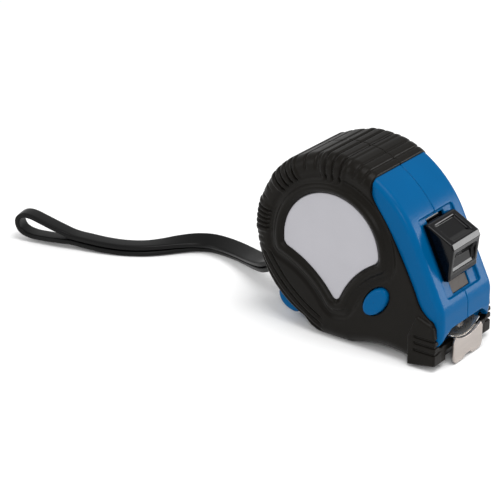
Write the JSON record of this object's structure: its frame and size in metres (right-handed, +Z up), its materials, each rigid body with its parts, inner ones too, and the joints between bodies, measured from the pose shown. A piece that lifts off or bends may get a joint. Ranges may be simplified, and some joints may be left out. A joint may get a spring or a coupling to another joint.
{
  "type": "pocket tape measure",
  "caption": "Pocket tape measure with a rubber-gripped blue case, sprung steel blade and end hook, thumb lock, two stop buttons, belt clip and wrist strap.",
  "frame": {"origin": "on the floor under the drum axis, in the case's middle plane, on the flat underside", "axes": "+X towards the hook and the way the blade comes out, +Y towards the belt clip side, +Z up"},
  "size_m": [0.1666, 0.0388, 0.0587],
  "materials": {
    "blue_case": "glossy moulded ABS",
    "rubber_grip": "satin overmoulded rubber",
    "label_plate": "satin silver",
    "black_plastic": "gloss",
    "tag": "matte",
    "blade_steel": "bright coated spring steel",
    "steel": "satin",
    "white_plastic": "matte",
    "strap_black": "satin woven strip"
  },
  "bodies": {
    "case": {"left_case": "blue_case", "right_case": "blue_case", "left_grip": "rubber_grip", "right_grip": "rubber_grip", "left_label": "label_plate", "right_label": "label_plate", "slot_plate": "black_plastic", "index_tag": "tag", "blade_guide": "black_plastic", "centre_post": "steel", "case_screws": "steel", "strap_anchor": "black_plastic", "wrist_strap": "strap_black", "belt_clip": "steel", "clip_screw": "steel"},
    "reel": {"drum": "blue_case", "left_disc": "white_plastic", "right_disc": "white_plastic", "blade_coil": "blade_steel", "power_spring": "steel"},
    "tape": {"blade": "blade_steel", "hook_rivets": "steel"},
    "hook": {"end_hook": "steel"},
    "lock": {"lock_slide": "black_plastic", "brake_shoe": "black_plastic"},
    "side_stop": {"side_button": "blue_case", "side_button_spring": "steel"},
    "rear_stop": {"belly_button": "blue_case", "belly_button_springs": "steel"}
  },
  "joints": [
    {"name": "drum_spin", "type": "hinge", "parent": "case", "child": "reel", "pos_m": [0, 0, 0.0302], "axis": [0, -1, 0], "range_deg": [0, 70], "stiffness_Nm_per_rad": 0.004},
    {"name": "blade_slide", "type": "slide", "parent": "case", "child": "tape", "axis": [1, 0, 0], "range_m": [0, 0.0265]},
    {"name": "hook_float", "type": "slide", "parent": "tape", "child": "hook", "axis": [1, 0, 0], "range_m": [0, 0.001]},
    {"name": "thumb_lock", "type": "slide", "parent": "case", "child": "lock", "axis": [0.4384, 0, -0.8988], "range_m": [0, 0.0045]},
    {"name": "side_button_press", "type": "slide", "parent": "case", "child": "side_stop", "axis": [0, 1, 0], "range_m": [0, 0.0012], "stiffness_N_per_m": 400},
    {"name": "rear_button_press", "type": "slide", "parent": "case", "child": "rear_stop", "axis": [0.6074, 0, 0.7944], "range_m": [0, 0.0018], "stiffness_N_per_m": 500}
  ],
  "couplings": [
    {"joint": "blade_slide", "follows": "drum_spin", "m_per_rad": 0.0216}
  ]
}
